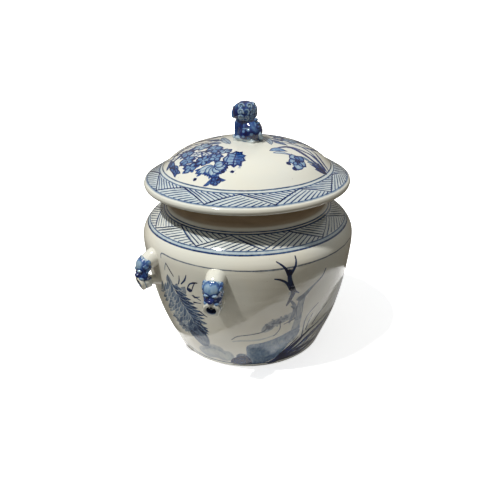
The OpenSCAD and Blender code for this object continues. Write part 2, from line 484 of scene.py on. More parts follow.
def zigzag(place, first):
    """The strokes of a border of triangles, hatched one way and then the other: (start, end, bold).

    place turns (degrees, share of the way from the inner ring to the outer) into paper points."""
    span = 360 / PERIODS
    for k in range(PERIODS):
        for i in range(STROKES):
            t, bold = i / STROKES, i == 0
            reach = 1 - t
            run = reach * span / 2
            near, far = (0, 1) if bold else (random.uniform(0.0, 0.06), random.uniform(0.9, 1.0))
            # strokes that fall to the right hang from the inner ring, and stop at the rising edge
            start = first + (k + t) * span
            yield place(start + run * near, reach * near), place(start + run * far, reach * far), bold
            # strokes that rise to the right stand on the outer ring, half a period on
            start += span / 2
            yield (place(start + run * near, 1 - reach * near),
                   place(start + run * far, 1 - reach * far), bold)


# ---- the jar's painting ----------------------------------------------------------------------

def flower_bundle(paper):
    """A long spray of spiky petals that hangs between the lugs, with a bud and a broad leaf."""
    paper.leaf((-43, 84), (-45.5, 98.5), 9, GREY, 0.1, vein=INK)
    paper.line([(-40.7, 99.2), (-43.1, 104.8), (-45.3, 109.8)], [0.7, 1.0, 0.5], INK)
    paper.line([(-45.3, 109.8), (-46.4, 106), (-47.2, 101.6)], [0.5, 0.6, 0.3], GREY)
    paper.leaf((-39, 82), (-33.6, 92.5), 8, GREY, -0.1)
    paper.leaf((-40, 86), (-38.6, 93), 4, GREY, 0.1, vein=INK)
    paper.line([(-37.9, 92.9), (-36.9, 97.5), (-36.5, 102.3)], [0.8, 1.0, 0.4], INK)
    paper.line([(-36, 94), (-33.1, 99.7), (-31.8, 105.3)], [0.9, 1.5, 0.4], INK)
    paper.area([(-32.6, 90.2), (-31, 92.2), (-29.4, 90.4), (-31, 88.2)], INK)
    paper.line([(-32.4, 90.6), (-30.6, 96.4), (-28, 99), (-25.7, 99.8)], [0.8, 0.9, 1.5, 0.6], INK)
    paper.line([(-29.6, 90.4), (-28.4, 95.5), (-27.4, 98.6)], [0.5, 0.7, 0.5], INK)
    # the spray: petals in ranks down a slanting stem, long ones to the left and short to the right
    ranks = 13
    for k in range(ranks):
        t = 1 - k / (ranks - 1)
        root = np.array([-43.5 + 12.5 * t, 88 - 40 * t])
        grow = math.sin(math.pi * (0.15 + 0.75 * t))
        for row in (3, 2, 1, 0):
            jitter = random.uniform(-1.2, 1.2, 4)
            start = root + [-2.9 * row + jitter[0] * 0.5, 3 - 1.5 * row + jitter[1]]
            tip = start + [-3.4 - 1.1 * row * grow + jitter[2] * 0.7, -10 - 5 * grow + jitter[3]]
            paper.leaf(start, tip, 3.9, (0.58 - 0.06 * row + 0.16 * jitter[0], 0.3), 0.12, over=True)
        for row in (1, 0):
            jitter = random.uniform(-1, 1, 4)
            start = root + [0.5 + 2.6 * row + jitter[0] * 0.4, 1 + jitter[1]]
            tip = start + [7 * grow + 2.2 + jitter[2] * 0.5, -4 - 5 * t + 3 * row + jitter[3]]
            paper.leaf(start, tip, 3.6, (0.78 + 0.2 * jitter[0], 0.35), -0.12, vein=INK, over=True)
    for start, tip in (((-29.5, 85.4), (-25, 81.8)), ((-28.6, 83.6), (-25.4, 85.6)),
                       ((-29.5, 78), (-25.2, 78.6)), ((-26.9, 69.2), (-22.8, 64.4))):
        paper.line([start, tip], [1.4, 0.4], INK)
    paper.area([(-34.5, 52), (-28.8, 50), (-25.2, 38), (-26.4, 27.5), (-31.4, 23.6), (-37, 33.5),
                (-38.4, 44)], (0.55, 0.25), 1.2, heart=0.85, rim=4)
    for k in range(7):
        start = (-50 + 2.6 * k, 53 - 2.2 * k)
        paper.leaf(start, (start[0] + 5, start[1] - 17 + k), 3.4, (0.34, 0.1), 0.06, vein=GREY)
    paper.line([(-28.3, 56.8), (-26.9, 50.7), (-24.2, 47.8)], [1.1, 0.7, 0.4], INK)
    paper.line([(-62, 31), (-57, 19), (-50, 11)], [0.6, 0.9, 0.4], GREY)
    paper.line([(-60, 27), (-54, 15)], [0.5, 0.3], MIST)


def bare_tree(paper):
    """A dark stump with bare forked branches."""
    paper.line([(19.9, 112.5), (20.1, 105), (21.4, 97.4), (22.7, 91), (21.5, 84.6), (19.6, 77.6)],
               [3.6, 3.8, 4.4, 4.6, 3.4, 1.4], INK, 0.3)
    paper.line([(19.3, 109.5), (17.9, 114.9), (16.1, 118.5), (13.5, 121.9)], [2.8, 1.9, 1.3, 0.7], INK)
    paper.line([(20.6, 109.5), (22.9, 115.8), (23.5, 120.4), (23.4, 124)], [2.7, 1.9, 1.2, 0.7], INK)
    paper.line([(21.1, 94), (18.6, 101.4), (15.3, 105.4), (12.4, 106.9)], [3.0, 2.0, 1.4, 0.8], INK)
    paper.line([(22.4, 93), (24, 90.6), (26, 88.4)], [3, 1.8, 0.6], INK)


def grey_tree_painted_sheen(paper):
    """A twisted trunk painted pale grey, partly as painted reflection of the glaze's sheen over a darker
    trunk, one long branch, and the wash at its roots.
    """
    paper.line([(42, 104.6), (40.1, 98.1), (35.1, 92.1), (32.5, 88.9), (30.1, 85), (27, 81.8)],
               [1.0, 1.3, 1.6, 3.0, 4.2, 5.2], (0.8, 0.15))
    paper.area([(24.9, 82), (29.6, 84.5), (29, 78), (28.8, 70), (29, 61), (27.6, 57.5), (25.2, 60),
                (24.2, 66), (25.4, 73), (26.4, 79)], (0.5, 0.1), 0.5, heart=0.7, rim=1.4)
    paper.line([(22.1, 81), (24, 76), (24.6, 70), (23.4, 62), (22.4, 57)],
               [1.8, 3.4, 3.6, 3.2, 1.6], (0.55, 0.1))
    paper.line([(30, 82), (29.4, 74), (29.6, 66), (29, 58)], [0.7, 0.9, 0.7, 0.4], (0.7, 0.15))
    paper.line([(26.4, 79), (25.8, 71), (26.6, 62)], [0.7, 1.0, 0.6], (0.6, 0.15))
    paper.line([(22.3, 75.6), (24.2, 72.4)], [1.0, 1.6], (0.7, 0.15))
    paper.line([(25.5, 60.5), (22.5, 58.4), (19.3, 56.4)], [1.6, 0.9, 0.6], (0.75, 0.05))
    # the wash runs from the roots down to the water's edge
    paper.area([(26, 60), (29.6, 62), (29.6, 52), (30.4, 40), (27, 30), (21.5, 36), (24.5, 46)],
               (0.36, 0.15), 0.9, heart=0.85, rim=2)


def foliage(paper):
    """A clump of small dabs on the slope, over a soft wash."""
    paper.area([(7, 51), (8.5, 58), (13, 63), (19, 65), (23, 68), (24.5, 63), (20, 60), (15, 57),
                (10.5, 51)], (0.3, 0.1), 1.2, heart=0.9, rim=2)
    dabs, corners = 48, 5
    for _ in range(dabs):
        t, off, r = random.uniform(0, 1), random.normal(0, 0.45), random.uniform(0.7, 1.9)
        x, y = 8.2 + 13.5 * t, 55.5 + 9.5 * t + off * 5.5
        tint = (random.uniform(0.15, 0.6), 0.1)
        first = random.uniform(0, 3)
        dab = [(x + r * math.cos(a) / PER_DEGREE, y + r * 0.8 * math.sin(a) * random.uniform(0.7, 1.2))
               for a in first + np.arange(corners) * 2 * math.pi / corners]
        paper.area(dab, tint, 0.5, steps=2)


def shore(paper):
    """Hill lines, the wash of the bank, and dark rocks at the foot."""
    paper.line([(-10.2, 40.6), (-6.7, 45.4), (0.2, 47.6), (7, 50.2), (9.4, 54), (9.6, 57)],
               [0.5, 0.9, 0.8, 1.0, 1.6, 1.0], (0.8, 0.0))
    paper.line([(-9.7, 38.1), (-5, 39.8), (6, 40.6), (15.9, 45.6)], [0.6, 1.2, 1.4, 0.4], HAZE, 0.8)
    paper.line([(16.9, 59), (17.2, 51), (14, 43.8)], [1.0, 0.8, 0.6], (0.75, 0.0))
    paper.area([(-1, 33), (7, 36), (15.5, 40), (23.5, 45.5), (27.6, 47), (29.4, 51), (30.6, 43),
                (29.4, 38.5), (26.4, 33), (22.8, 21), (18.5, 11.5), (9, 5.6), (-1.8, 6), (-1.6, 20)],
               (0.5, 0.42), 0.7, heart=0.85, rim=3)
    paper.line([(2, 30), (10, 31.5), (18, 35), (25, 41)], [1.5, 4, 3.5, 1.5], (0.12, 0.4), 1.5)
    paper.line([(8, 13), (14, 14.5), (19, 21)], [1, 2.4, 1], (0.14, 0.4), 1.5)
    paper.area([(-12.6, 4.6), (-11.8, 11.5), (-6.4, 16.6), (-1.8, 17.4), (1.6, 8), (-2.4, 4.2)],
               (1.25, 0.45), 0.7, heart=0.9)
    paper.area([(-8.6, 16), (-6.4, 20.5), (-2.6, 19.8), (-2, 15)], (0.55, 0.2), 0.9)
    paper.area([(-36, 14), (-33, 21), (-28, 22.5), (-25, 28), (-19, 27), (-16.5, 22), (-12.6, 21),
                (-11, 12), (-17, 8), (-24, 10.5), (-30, 8)], (0.22, 0.2), 2.2, heart=0.6, rim=5)
    paper.line([(-33, 17), (-27, 24), (-21, 23.5), (-16, 18)], [1.5, 3.5, 2.5, 1.0], (0.22, 0.2), 1.2)
    paper.line([(-60, 22), (-50, 12), (-40, 7), (-28, 5)], [0.6, 1.2, 1.0, 0.5], MIST, 0.6)


def grasses(paper):
    """Long blades that fan out of the bank's dark corner."""
    paper.area([(12.5, 3.6), (17.6, 9.2), (22.6, 15), (26.6, 13.6), (24, 8), (19, 3.8)],
               (1.4, 0.7), 0.6)
    blades = [
        ([(18.5, 9), (24, 19.5), (31.6, 33.6)], 3.4, (1.45, 0.8)),
        ([(20, 8), (27, 21), (33, 31), (38, 38)], 2.6, (1.2, 0.8)),
        ([(22.5, 9.5), (31, 23.4), (37.3, 35.8), (45, 42), (54.4, 48.2)], 3.6, (1.4, 0.75)),
        ([(23, 8), (35, 14.8), (48.6, 15.4), (54, 22), (54, 35)], 4.0, (1.2, 0.7)),
        ([(22, 6), (36, 7.2), (46.4, 10.4), (57, 16.7), (61.6, 29.7), (64.4, 44), (70, 58), (76, 72)],
         4.6, (1.4, 0.65)),
        ([(20, 7.4), (30, 7), (37.2, 13.6), (41.5, 23.9), (44, 33)], 3.0, (1.3, 0.8)),
        ([(24, 10), (33, 19), (39, 28), (46, 35), (55, 40)], 2.6, (1.2, 0.75)),
        ([(26, 8), (38, 12), (47, 22), (52, 32), (60, 42)], 3.0, (1.1, 0.7)),
        ([(30, 6), (44, 9), (54, 20), (58, 34), (66, 50)], 2.6, (0.9, 0.75)),
    ]
    for points, width, tint in blades:
        paper.line(points, [width * 0.7, width, width * 0.8, width * 0.5, 0.4], (tint[0] + 0.3, tint[1]))
    for points in ([(33.9, 34), (33, 52.4), (35.2, 61.5), (40.8, 68.8)],
                   [(35.6, 41), (36.6, 52), (38, 58.8)], [(40, 44), (44, 55), (50, 62)]):
        paper.line(points, [1.3, 1.0, 0.5], (0.8, 0.25))
    for k in range(5):
        start = (28 + 5 * k, 16 + 4.5 * k)
        paper.leaf(start, (start[0] + 11, start[1] + 9 + k), 4, (0.7, 0.7), -0.08)
    # far reeds, out of the light
    for k in range(6):
        at = 62 + 6.5 * k
        paper.line([(at, 8 + 3 * k), (at + 3, 26 + 3 * k), (at + 9, 40 + 3 * k)],
                   [1.8, 1.2, 0.4], (0.9, 0.4))
        paper.leaf((at - 2, 6 + 3 * k), (at + 8, 25 + 2 * k), 3.4, MIST, 0.1)


def panel_line(paper):
    """The thin line that heads the painting, with its turned-down corner."""
    paper.line([(-49.2, 112.4), (-48.7, 117.2), (-42, 117), (-35.6, 116.8), (-20, 116.3), (2.5, 115.5),
                (24, 115.5), (50, 115.6), (78, 116), (104, 116.4), (104.6, 112)],
               [0.6, 0.9, 0.9, 0.7, 1.0, 0.8, 0.8, 0.6], (0.5, 0.05), 0.35)


def jar_paper():
    """All the painting on the jar: both scenes, the shoulder's border and the rings."""
    paper = Paper()
    for turn in (0, 180):
        paper.place = on_jar(turn)
        for part in (panel_line, shore, grey_tree_painted_sheen, foliage, grasses, bare_tree, flower_bundle):
            part(paper)
    # the shoulder's border, between a double ring at the neck and one at the shoulder's edge
    inner, outer = jar_level(138.6), jar_level(130.4)

    def place(degrees, t):
        return degrees * PER_DEGREE, inner + (outer - inner) * t

    for a, b, bold in zigzag(place, SEAM + 8):
        widths, tint = ([1.1, 0.8], (1.2, 0.5)) if bold else ([0.8, 0.5], (1.0, 0.45))
        # drawn again a full turn back, for the part of a stroke that runs over the seam
        for shift in (0, -360 * PER_DEGREE):
            paper.marks.append(Line([(a[0] + shift, a[1]), (b[0] + shift, b[1])], widths, tint, 0.25))
    rings = (
        # level, width, tint
        (inner + 1.1, 1.2, (0.95, 0.5)),
        (inner + 3.6, 0.9, (0.8, 0.5)),
        (outer - 0.9, 0.8, (0.7, 0.45)),
        (outer - 4.2, 1.3, (1.0, 0.55)),
        (outer - 2.5, 3.0, (0.12, 0.9)),
        (jar_level(5.2), 1.0, (0.75, 0.2)),
        ((inner + outer) / 2, abs(inner - outer), (0.04, 0.8)),
    )
    for phase, (level, width, tint) in enumerate(rings):
        paper.marks.append(Ring(level, width, tint, 0.3, 0.1, phase))
    return paper


# ---- the lid's painting ----------------------------------------------------------------------

def oval(centre, radii, share, angle):
    """The point of an oval at an angle, at that share of its radii from the centre."""
    return (centre[0] + radii[0] * share * math.cos(angle), centre[1] + radii[1] * share * math.sin(angle))


def rose_group(paper):
    """Crowded lobed leaves round an open flower, with a long branch behind."""
    paper.line([(-30, 4), (-37, 3), (-51, 6), (-62, 1), (-71, -12), (-76, -23)],
               [1, 1.6, 2.2, 1.8, 1.2], DARK)
    paper.line([(-54, -6), (-60, -11), (-65, -16.5), (-69, -22)], [1.0, 1.8, 1.6, 0.8], DARK)
    paper.line([(-45, -31), (-40, -34.5), (-35, -37)], [1.4, 1.0, 0.8], DARK)
    paper.line([(-33, -57), (-26, -58), (-20.5, -55.5), (-15, -39.5)], [1.8, 1.4, 1.2, 0.8], DARK)
    for base, tip, width, bend in (((-72, -12), (-76, -27), 5, 0.1), ((-70, -16), (-66, -33), 6, -0.1),
                                   ((-72, -26), (-66, -47), 7, 0.15), ((-67, -32), (-60, -46), 5, -0.1),
                                   ((-58, -12), (-68, -18), 4, 0.1), ((-60, 0), (-66, -7), 4, -0.2)):
        paper.leaf(base, tip, width, (0.75, 0.85), bend, edge=NAVY, vein=NAVY, heart=0.75)
    lobed = (
        # middle, half-widths, lobes, tint, turn
        ((-41, -9), (9.5, 9), 5, (0.5, 0.75), 0.4),
        ((-29, -22), (7.5, 10), 4, (0.75, 0.9), 1.0),
        ((-54, -17), (7, 8), 4, (0.75, 0.9), 0.2),
        ((-53, -31), (7.5, 8), 5, (0.85, 0.9), 0.9),
        ((-50, -45), (7, 6.5), 4, (0.8, 0.9), 0.0),
        ((-38, -41), (7, 8), 5, (0.7, 0.95), 0.5),
        ((-27, -40), (6, 7.5), 4, (0.85, 0.9), 1.3),
        ((-19, -30), (6, 4.5), 4, (0.55, 0.85), 0.3),
    )
    for centre, radii, petals, tint, turn in lobed:
        paper.blossom(centre, radii, petals, tint, NAVY, turn, 0.42, heart=0.5)
        for k in range(5):
            a = turn + k * 2.4
            start, tip = (oval(centre, radii, share, b) for share, b in ((0.75, a), (1.25, a + 0.25)))
            paper.leaf(start, tip, 3.2, DARK, 0.1)
    for centre, radii in (((-45, -25), (6, 4.5)), ((-35, -30), (5, 4))):
        paper.blossom(centre, radii, 5, PALE, DARK, 0.3, 0.2)
    # the big leaf: a pale half and a dark half, both toothed
    edge = [(-19, -50), (-20, -44), (-16.5, -40), (-16, -36), (-12, -36), (-9, -32.5), (-6.5, -35.5),
            (-4, -34), (-4.4, -39), (-1, -41.5), (-3.4, -45), (-1.4, -50), (-5, -51), (-5, -57),
            (-8.4, -54.5), (-11, -58), (-13.4, -54), (-17, -55.5), (-16.4, -51)]
    paper.area(edge, (0.45, 1.0), 0.4, heart=0.7, steps=2)
    paper.area(edge[5:15] + [(-10, -44)], (0.75, 0.95), 0.4, heart=0.9, steps=2)
    paper.line(edge + edge[:1], [1.0, 1.6, 1.0, 1.7, 1.2], NAVY, steps=2)
    paper.line([(-11.6, -56), (-10.6, -46), (-8.8, -35)], [1.4, 1.0, 0.6], NAVY)
    for k in range(4):
        paper.line([(-11 + 0.6 * k, -52 + 4.4 * k), (-16 + 1.2 * k, -50.5 + 4.6 * k)], [0.8, 0.4], DARK)
        paper.line([(-11 + 0.6 * k, -52 + 4.4 * k), (-5 + 0.6 * k, -53 + 4.6 * k)], [0.9, 0.5], NAVY)
    # the open flower: a fan of broad toothed petals with veins from its heart
    heart, reaches = np.array([-28, -53]), (17, 12, 14, 12.5, 13, 10)
    for k, reach in enumerate(reaches):
        a = math.radians(188 + 184 * k / (len(reaches) - 1))
        tip = heart + reach * np.array([math.cos(a), math.sin(a)])
        paper.leaf(heart, tip, 9.5, (0.36, 1.0), 0.04, edge=NAVY, vein=DARK, heart=0.45, over=True)
        for turn in (-0.22, 0.0, 0.22):
            run = (reach * 0.98) * np.array([math.cos(a + turn), math.sin(a + turn)])
            paper.leaf(heart + run * 0.72, heart + run * 1.06, 2.6, (0.9, 0.95), 0.1)
    paper.blossom((-27.5, -70.5), (5.0, 4.6), 5, (1.0, 0.95), NAVY, 0.3, 0.4, heart=0.8)
    paper.leaf((-32, -68), (-39, -72), 3.4, DARK, 0.2)
    paper.leaf((-24, -68), (-18, -71.5), 3.0, DARK, -0.2)
    for centre, r in (((-46, -62), 1.2), ((-20.5, -62), 1.4), ((-25, -70), 1.0), ((-12.5, -63.5), 1.1)):
        paper.blossom(centre, (r, r), 3, NAVY, NAVY, 0.5, 0.2, heart=1)


def orchid_group(paper):
    """Long blades that spring from one root, a five-petalled flower and small leaves."""
    paper.leaf((15, 13), (22, -15), 7, (0.3, 0.45), 0.05, edge=GREY, vein=GREY)
    for base, tip, width in (((23, 8), (33, 1), 6), ((24, -5), (37, -11), 6), ((22, 0), (31, -5), 4)):
        paper.leaf(base, tip, width, (0.85, 0.75), 0.08, edge=NAVY, vein=INK, heart=0.8)
    paper.leaf((20, -30), (36, -27), 7, (0.4, 1.0), 0.22, edge=NAVY)
    paper.leaf((23, -34), (38, -33), 4, PALE, 0.15, edge=DARK)
    blades = [
        ([(29, 23), (36, 23.6), (43, 22)], 2.4), ([(43, 14), (51, 12.5), (60, 6)], 2.6),
        ([(56, 12), (64, 8), (72, 0)], 1.8), ([(66, 14), (72, 10), (79, 2)], 1.2),
        ([(28, -21), (36.5, -15), (42.5, -17), (51, -24), (60, -30), (74, -37.5)], 4.2),
        ([(41, -13), (51, -17), (64, -21.5), (75, -33)], 2.4),
        ([(45, -2), (55, -10), (64, -20), (73, -33)], 2.0), ([(64, -9), (71, -21), (77, -28)], 2.6),
        ([(50, 2), (60, -4), (69, -15)], 1.6), ([(58, -20), (67, -27), (74, -36)], 1.8),
    ]
    for points, width in blades:
        tint = NAVY if width > 2 else DARK
        paper.line(points, [width * 0.4, width, width, width * 0.8, width * 0.5], tint)
    for base, tip, width, bend in (((74, -38), (58, -34), 6, 0.1), ((74, -38), (62, -42), 5, -0.1),
                                   ((74, -38), (65, -29), 4.5, 0.1), ((73, -38), (56, -38), 3.4, 0)):
        paper.leaf(base, tip, width, (1.0, 0.9), bend, edge=NAVY, heart=0.7)
    paper.leaf((56, -33), (49, -30), 3.6, (0.5, 0.5), 0.1, edge=GREY)
    paper.leaf((54, -37), (62, -33), 3, (0.5, 0.5), 0.1, edge=GREY)
    # the flower, with one petal painted dark
    middle, petals = (44.3, -41), 5
    for k in range(petals):
        tip = oval(middle, (8.4, 12.6), 1, math.radians(54 + 360 / petals * k))
        tint = (0.9, 0.95) if k == 0 else (0.36, 1.0)
        paper.leaf(middle, tip, 9.5, tint, 0.05, edge=NAVY, heart=0.55)
    heart, circle = (44.5, -41), np.linspace(0, 2 * math.pi, 13)
    paper.line([oval(heart, (2.0, 2.6), 1, a) for a in circle], [1.1, 1.1], NAVY, steps=1)
    paper.area([oval(heart, (1.3, 1.8), 1, a) for a in circle[:-1:2]], PALE)
    for at in ((41.5, -53), (36, -48)):
        paper.blossom(at, (1.8, 1.8), 3, NAVY, NAVY, 0.4, 0.2, heart=1)


def lid_paper():
    """All the painting on the lid: both groups twice, the brim's border and the rings."""
    paper = Paper()
    for turn in (0, 180):
        paper.place = on_lid(turn)
        rose_group(paper)
        orchid_group(paper)
    inner, outer = length_at(lid, 81.2, 175.0), length_at(lid, 92.4, 168.7)

    def place(degrees, t):
        a, r = math.radians(degrees), inner + (outer - inner) * t
        return r * math.sin(a), -r * math.cos(a)

    for a, b, bold in zigzag(place, -40):
        widths, tint = ([1.3, 1.1, 0.8], (1.3, 0.7)) if bold else ([0.9, 0.8, 0.5], (1.0, 0.6))
        paper.marks.append(Line([a, ((a[0] + b[0]) / 2, (a[1] + b[1]) / 2), b], widths, tint, 0.25))
    rings = (
        # level, width, tint
        (inner - 0.8, 0.9, (0.75, 0.4)),
        (inner - 4.0, 0.9, (0.75, 0.35)),
        (inner - 2.4, 2.4, (0.05, 0.9)),
        (outer + 0.5, 0.9, (0.6, 0.45)),
        ((inner + outer) / 2, outer - inner, (0.07, 1.0)),
    )
    for phase, (level, width, tint) in enumerate(rings):
        paper.marks.append(Ring(level, width, tint, 0.35, 0.12, phase, round_lid=True))
    return paper


# ---- the thrown pieces -----------------------------------------------------------------------

def make_jar():
    """The jar: its painted wall, then plain rings under it, over the neck and inside."""
    paper = jar_paper()
    rows = jar.rows(JAR_LOW, JAR_HIGH)
    x = columns(0, COLUMNS + 1) * PER_DEGREE
    verts = [(a, s) for s in rows for a in x]
    last = len(rows) - 1
    edges = [(i * len(x) + j, (i + 1) * len(x) + j) for i in range(last) for j in (0, COLUMNS)]
    edges += [(i * len(x) + j, i * len(x) + j + 1) for i in (0, last) for j in range(COLUMNS)]
    q, faces, colour = paper.cut(verts, edges)
    middle = q[faces].mean(1)
    keep = ((middle > (x[0], rows[0])) & (middle < (x[-1], rows[-1]))).all(1)
    # the last column of the paper is the first one again
    degrees = q[:, 0] / PER_DEGREE
    degrees = np.where(degrees > SEAM + 360 - 1e-3, SEAM, degrees)
    # the glaze fades out over the foot of the neck, and the bare neck above is painted dark brown as shade
    # under the lid's brim
    glaze_end_shade_start, fade = length_at(jar, 74.5, 142), 2.5
    colour[:, 3] = 1 - smooth((q[:, 1] - glaze_end_shade_start) / fade)
    builder = Builder()
    place, normal = turned_points(jar, degrees, q[:, 1])
    builder.add(place, normal, colour, faces[keep])
    rim, end = length_at(jar, NECK_IN_R + 1.5, RIM_Z), jar.s[-1] - HOLE
    builder.rings(jar, jar.rows(HOLE, JAR_LOW, HIDDEN_CELL))
    # the neck: unglazed, so painted dark brown as shade under the lid's brim
    builder.rings(jar, jar.rows(JAR_HIGH, rim), 0.0)
    builder.rings(jar, jar.rows(rim, end, HIDDEN_CELL))
    for s in (HOLE, end):
        builder.cap(jar, s)
    return builder.mesh("jar_glazed")


def make_lid():
    """The lid: its painted top, then the plain edge and underside."""
    paper = lid_paper()
    edge = length_at(lid, 93.2, 168.2)
    verts, edges = [(0.0, 0.0)], []
    radii, fewest = np.linspace(0, edge, int(edge / CELL) + 1)[1:], 12
    for r in radii:
        outermost = r == radii[-1]
        count = COLUMNS if outermost else int(min(COLUMNS, max(fewest, 2 * math.pi * r / CELL)))
        a = np.radians(SEAM + np.arange(count) * 360 / count)
        first = len(verts)
        verts += [(r * math.sin(b), -r * math.cos(b)) for b in a]
        if outermost:
            edges += [(first + j, first + (j + 1) % count) for j in range(count)]
    q, faces, colour = paper.cut(verts, edges)
    degrees, s = np.degrees(np.arctan2(q[:, 0], -q[:, 1])), np.minimum(np.hypot(*q.T), edge)
    keep = np.hypot(*q[faces].mean(1).T) < edge
    builder = Builder()
    place, normal = turned_points(lid, degrees, s)
    builder.add(place, normal, colour, faces[keep])
    builder.rings(lid, lid.rows(edge, lid.s[-1] - HOLE))
    builder.cap(lid, lid.s[-1] - HOLE)
    return builder.mesh("lid_glazed")


# ---- modelled pieces -------------------------------------------------------------------------

class Clay:
    """Soft masses joined and carved on a grid, in millimetres. Distances are negative inside."""

    FAR = 20           # a distance that is outside every mass
    BAND = 3           # grid steps on each side of the surface that the mesh is taken from

    def __init__(self, low, high, step):
        self.low, self.step = np.array(low, float), step
        axes = [np.arange(a, b + step, step, dtype=np.float32) for a, b in zip(low, high)]
        self.at = np.meshgrid(*axes, indexing="ij", sparse=True)
        self.field = np.full([len(a) for a in axes], self.FAR, np.float32)
        self.marks = []

    def add(self, form, blend=1.0, tint=None, soft=0.8):
        """Joins a mass on, so that it melts into the rest over blend, and may paint it."""
        d = form(*self.at)
        h = np.clip(0.5 + 0.5 * (self.field - d) / blend, 0, 1)
        self.field = self.field + (d - self.field) * h - blend * h * (1 - h)
        if tint:
            self.paint(form, tint, soft)

    def carve(self, form, blend=0.6, tint=None, soft=0.8):
        """Cuts a shape out, with its brink rounded over blend, and may paint the cut."""
        d = -form(*self.at)
        h = np.clip(0.5 - 0.5 * (self.field - d) / blend, 0, 1)
        self.field = self.field + (d - self.field) * h + blend * h * (1 - h)
        if tint:
            self.paint(form, tint, soft)

    def paint(self, form, tint, soft=0.8):
        """Paints what the form covers, and fades out over soft round it."""
        self.marks.append((form, tint, soft))

    def surface(self, base=BARE):
        """Points in millimetres, faces, normals and colours of the finished surface."""
        band = self.BAND * self.step
        grid = openvdb.FloatGrid(background=band)
        grid.copyFromArray(np.ascontiguousarray(np.clip(self.field, -band, band)))
        points, quads = grid.convertToQuads(0.0)
        gradient = np.stack(np.gradient(self.field), -1)
        i = np.clip(points, 0, np.array(self.field.shape) - 1.001)
        c, f = np.floor(i).astype(int), i - np.floor(i)
        normal = 0
        for k in np.ndindex(2, 2, 2):
            w = np.prod(np.where(np.array(k), f, 1 - f), axis=1)
            normal = normal + w[:, None] * gradient[tuple((c + k).T)]
        points = points * self.step + self.low
        thick, blue = np.full(len(points), float(base[0])), np.full(len(points), float(base[1]))
        for form, tint, soft in self.marks:
            share = smooth(1 - form(*points.T) / soft)
            thick += (tint[0] - thick) * share
            blue += (tint[1] - blue) * share
        return points, quads, unit(normal), colours(thick, blue)


def ball(centre, radii):
    """An ellipsoid. radii is one number or three."""
    c, r = np.array(centre, float), np.array(radii, float) * np.ones(3)

    def form(x, y, z):
        u, v, w = (x - c[0]) / r[0], (y - c[1]) / r[1], (z - c[2]) / r[2]
        k = np.sqrt(u * u + v * v + w * w)
        g = np.sqrt((u / r[0]) ** 2 + (v / r[1]) ** 2 + (w / r[2]) ** 2)
        return k * (k - 1) / np.maximum(g, 1e-6)
    return form


def rod(points, radii, flat=0.0):
    """A bent rod through the points, with its own radius at each; flat widens it along y."""
    p = np.array(points, float)
    r = np.interp(np.linspace(0, 1, len(p)), np.linspace(0, 1, len(radii)), radii)

    def form(x, y, z):
        y = np.sign(y) * np.maximum(np.abs(y) - flat, 0) if flat else y
        best = 99.0
        for a, b, ra, rb in zip(p[:-1], p[1:], r[:-1], r[1:]):
            run = b - a
            t = ((x - a[0]) * run[0] + (y - a[1]) * run[1] + (z - a[2]) * run[2]) / (run @ run)
            t = np.clip(t, 0, 1)
            d = np.sqrt((x - a[0] - t * run[0]) ** 2 + (y - a[1] - t * run[1]) ** 2
                        + (z - a[2] - t * run[2]) ** 2) - (ra + (rb - ra) * t)
            best = np.minimum(best, d)
        return best
    return form


def ring_form(centre, axis, radius, thick):
    """A torus about an axis."""
    c, n = np.array(centre, float), np.array(axis, float) / np.linalg.norm(axis)

    def form(x, y, z):
        u, v, w = x - c[0], y - c[1], z - c[2]
        h = u * n[0] + v * n[1] + w * n[2]
        flat = np.sqrt(np.maximum(u * u + v * v + w * w - h * h, 0))
        return np.sqrt((flat - radius) ** 2 + h * h) - thick
    return form


def slab(centre, half, corner):
    """A box with rounded corners."""
    c, h = np.array(centre, float), np.array(half, float) - corner

    def form(x, y, z):
        u, v, w = (np.abs(t - c[i]) - h[i] for i, t in enumerate((x, y, z)))
        out = np.sqrt(np.maximum(u, 0) ** 2 + np.maximum(v, 0) ** 2 + np.maximum(w, 0) ** 2)
        return out + np.minimum(np.maximum(np.maximum(u, v), w), 0) - corner
    return form


def curl(centre, axis, radius, turns=1.4, thick=0.9, start=0.0):
    """A snail curl of the mane: a spiral rod lying across the axis."""
    n = np.array(axis, float) / np.linalg.norm(axis)
    a = np.cross(n, (0.2, 0.3, 0.93))
    a /= np.linalg.norm(a)
    b = np.cross(n, a)
    t = np.linspace(0, 1, 9)
    turn = start + 2 * np.pi * turns * t
    r = radius * (1 - 0.85 * t)
    points = np.array(centre) + (r * np.cos(turn))[:, None] * a + (r * np.sin(turn))[:, None] * b
    return rod(points, [thick, thick * 0.8])


BORE_OUT, BORE_UP, BORE_R, LOOP_W = 105.2, 96, 4.5, 13
LUG_DEGREES = {1: 159, 2: 201, 3: -21, 4: 21}       # from +X towards +Y


def bore_form(x, y, z):
    """The lug's hole along y, a little wider at its mouths."""
    flare = np.maximum(np.abs(y) - LOOP_W * 0.3, 0) * 0.22
    return np.sqrt(x * x + z * z) - BORE_R - flare


def make_loop():
    """The strap from the shoulder, round the hole and back into the wall."""
    clay = Clay((-15, -12, -19), (12, 12, 26), 0.4)
    strap = [(-10, 0, 16), (-4, 0, 14.5), (1.5, 0, 10.5), (4.4, 0, 5), (4.6, 0, -3), (2, 0, -8.4),
             (-4, 0, -10.5), (-11, 0, -12)]
    clay.add(rod(strap, [4.0, 5.4, 5.0, 3.9, 3.4, 3.4, 3.8, 4.2], flat=1.8))
    clay.add(ball((-1.0, 0, 9.6), (7.6, 8.4, 7.6)), 3)
    clay.add(ball((-7.5, 0, 12.5), (7.5, 9.2, 6.5)), 4)
    clay.add(rod([(-9, 0, 12), (-9, 0, -10)], [3.2, 3.2], flat=2.6), 2)
    clay.carve(bore_form, 0.8)
    return clay.surface()


def raised(clay, form, tint, height=0.6, soft=0.35, outline=NAVY):
    """A raised mark in a pale tint, with cobalt pooled round it."""
    clay.paint(form, outline, 1.5)
    clay.add(form, height, tint, soft)


